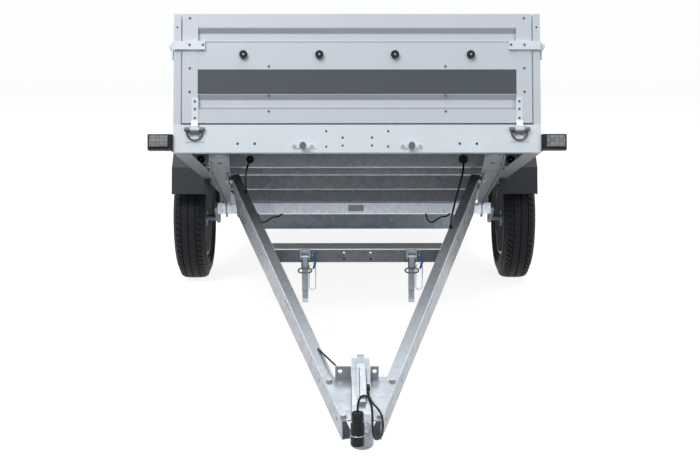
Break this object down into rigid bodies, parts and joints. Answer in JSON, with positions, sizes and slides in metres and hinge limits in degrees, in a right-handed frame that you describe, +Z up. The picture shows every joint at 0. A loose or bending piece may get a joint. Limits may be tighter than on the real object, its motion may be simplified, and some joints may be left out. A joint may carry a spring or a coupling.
{
  "type": "utility trailer",
  "caption": "Galvanised single-axle box trailer parked tipped on its tail bar, with a folding V drawbar resting on its ball coupling.",
  "frame": {"origin": "centre of the bounding box at the floor, with the trailer parked", "axes": "+X to the right seen from the drawbar end, +Y towards the tail, +Z up"},
  "size_m": [1.68, 3.9398, 1.2455],
  "materials": {
    "galvanised": "hot-dip galvanised, satin with a faint mottle",
    "aluzinc": "satin coated sheet",
    "zinc_plate": "zinc plated, semi-bright",
    "rim_paint": "silver paint",
    "tyre_rubber": "matt moulded rubber",
    "black_plastic": "fine-grained black",
    "clear_lens": "clear moulded",
    "red_lens": "red moulded",
    "ply": "film-faced, matt",
    "blue_strap": "blue webbing"
  },
  "bodies": {
    "bed": {"axle_brace_left": "galvanised", "axle_brace_right": "galvanised", "axle_cable_loops": "black_plastic", "axle_clamps": "zinc_plate", "axle_hangers": "zinc_plate", "axle_plate": "zinc_plate", "axle_tube": "zinc_plate", "cable_left": "black_plastic", "cable_right": "black_plastic", "corner_latches": "zinc_plate", "corner_posts": "aluzinc", "cross_members": "galvanised", "floor_panel": "ply", "front_hinge_leaves": "zinc_plate", "front_rail": "galvanised", "grommets": "black_plastic", "lashing_rings": "zinc_plate", "latch_keepers": "zinc_plate", "mudguard_left": "black_plastic", "mudguard_right": "black_plastic", "pivot_pins": "zinc_plate", "position_lamp_lenses": "clear_lens", "position_lamps": "black_plastic", "rear_lamps": "red_lens", "rear_rail": "galvanised", "side_board_left": "aluzinc", "side_board_right": "aluzinc", "side_rail_left": "galvanised", "side_rail_right": "galvanised", "swing_arm_left": "zinc_plate", "swing_arm_right": "zinc_plate", "tail_bar": "galvanised", "tail_hinge_leaves": "zinc_plate"},
    "drawbar": {"drawbar_rail_left": "galvanised", "drawbar_rail_right": "galvanised", "crossbar": "galvanised", "nose_plate": "galvanised", "upright_plate": "galvanised", "coupling_head": "zinc_plate", "coupling_lever": "zinc_plate", "toggle_latch_left": "zinc_plate", "toggle_latch_right": "zinc_plate", "toggle_bails": "zinc_plate", "lynch_pins": "zinc_plate", "pin_straps": "blue_strap", "cable_glands": "black_plastic", "plug": "black_plastic", "plug_cable": "black_plastic"},
    "wheel_left": {"tyre_left": "tyre_rubber", "rim_left": "rim_paint", "hub_left": "zinc_plate"},
    "wheel_right": {"tyre_right": "tyre_rubber", "rim_right": "rim_paint", "hub_right": "zinc_plate"},
    "front_board_body": {"front_board": "aluzinc", "front_board_straps": "zinc_plate", "front_board_knobs": "black_plastic"},
    "tail_board_body": {"tail_board": "aluzinc", "tail_board_straps": "zinc_plate", "tail_board_knobs": "black_plastic"}
  },
  "joints": [
    {"name": "drawbar_fold", "type": "hinge", "parent": "bed", "child": "drawbar", "pos_m": [0, -0.12038, 0.54614], "axis": [-1, 0, 0], "range_deg": [0, 29.02], "deforming": ["cable_left", "cable_right"]},
    {"name": "wheel_left_spin", "type": "hinge", "parent": "bed", "child": "wheel_left", "pos_m": [-0.767, 0.46244, 0.289], "axis": [1, 0, 0], "continuous": true},
    {"name": "wheel_right_spin", "type": "hinge", "parent": "bed", "child": "wheel_right", "pos_m": [0.767, 0.46244, 0.289], "axis": [1, 0, 0], "continuous": true},
    {"name": "front_board_drop", "type": "hinge", "parent": "bed", "child": "front_board_body", "pos_m": [0, -0.75683, 0.81991], "axis": [1, 0, 0], "range_deg": [0, 90]},
    {"name": "tail_board_drop", "type": "hinge", "parent": "bed", "child": "tail_board_body", "pos_m": [0, 1.85308, 0.211], "axis": [-1, 0, 0], "range_deg": [0, 105]}
  ]
}
